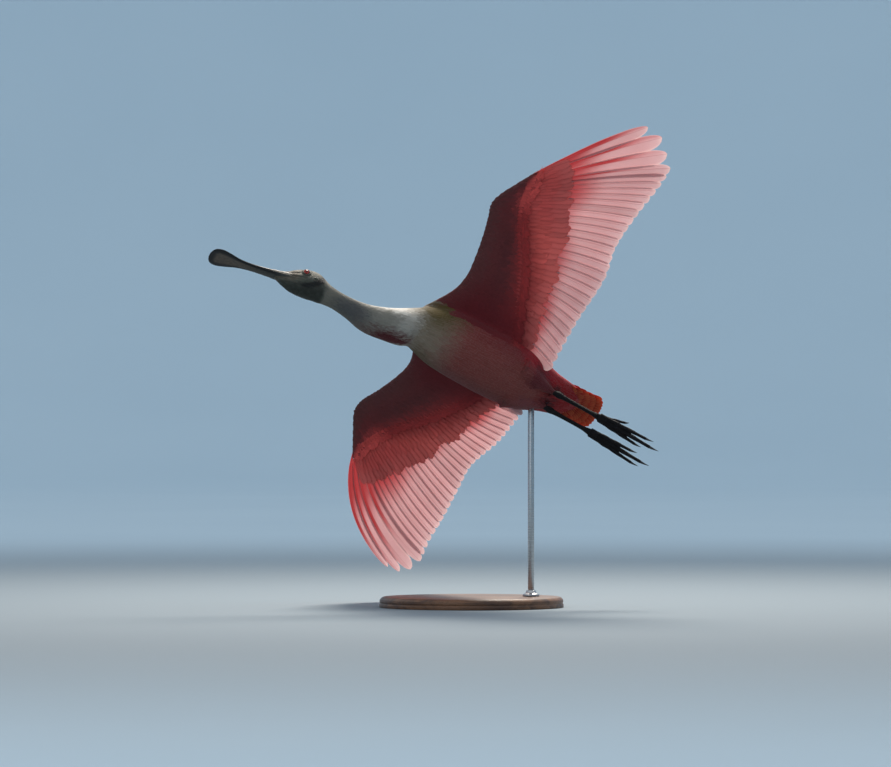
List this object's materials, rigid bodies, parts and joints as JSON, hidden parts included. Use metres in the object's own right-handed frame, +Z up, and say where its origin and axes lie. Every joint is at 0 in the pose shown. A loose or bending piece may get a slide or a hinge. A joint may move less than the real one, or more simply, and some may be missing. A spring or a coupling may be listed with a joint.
{
  "type": "roseate spoonbill",
  "caption": "Life-size roseate spoonbill banking in flight with wings spread, neck and legs stretched out, held by a rod on a round base.",
  "frame": {"origin": "centre of the underside of the round stand base, on the floor", "axes": "+Z up; the bird heads to -X and climbs, with its belly turned to -Y and its left wing raised"},
  "size_m": [0.8695, 0.5003, 0.9096],
  "materials": {
    "pink_plumage": "soft matte feathers",
    "white_plumage": "soft matte feathers",
    "wing_plumage": "satin feathers",
    "tail_plumage": "satin feathers",
    "bare_skin": "wrinkled matte skin",
    "bill_horn": "dull horn",
    "eye": "wet and glossy",
    "leg_scales": "dull scaled skin",
    "stand_wood": "satin varnish",
    "stand_steel": "brushed"
  },
  "bodies": {
    "root": {"torso": "pink_plumage", "neck_lower": "white_plumage", "neck_upper": "white_plumage", "head": "bare_skin", "bill_upper": "bill_horn", "bill_lower": "bill_horn", "eye_left": "eye", "eye_right": "eye", "wing_left_arm": "wing_plumage", "wing_left_hand": "wing_plumage", "wing_right_arm": "wing_plumage", "wing_right_hand": "wing_plumage", "tail": "tail_plumage", "thigh_left": "pink_plumage", "thigh_right": "pink_plumage", "shank_left": "leg_scales", "shank_right": "leg_scales", "foot_left": "leg_scales", "foot_right": "leg_scales", "stand_base": "stand_wood", "stand_collar": "stand_steel", "stand_rod": "stand_steel"}
  },
  "joints": []
}
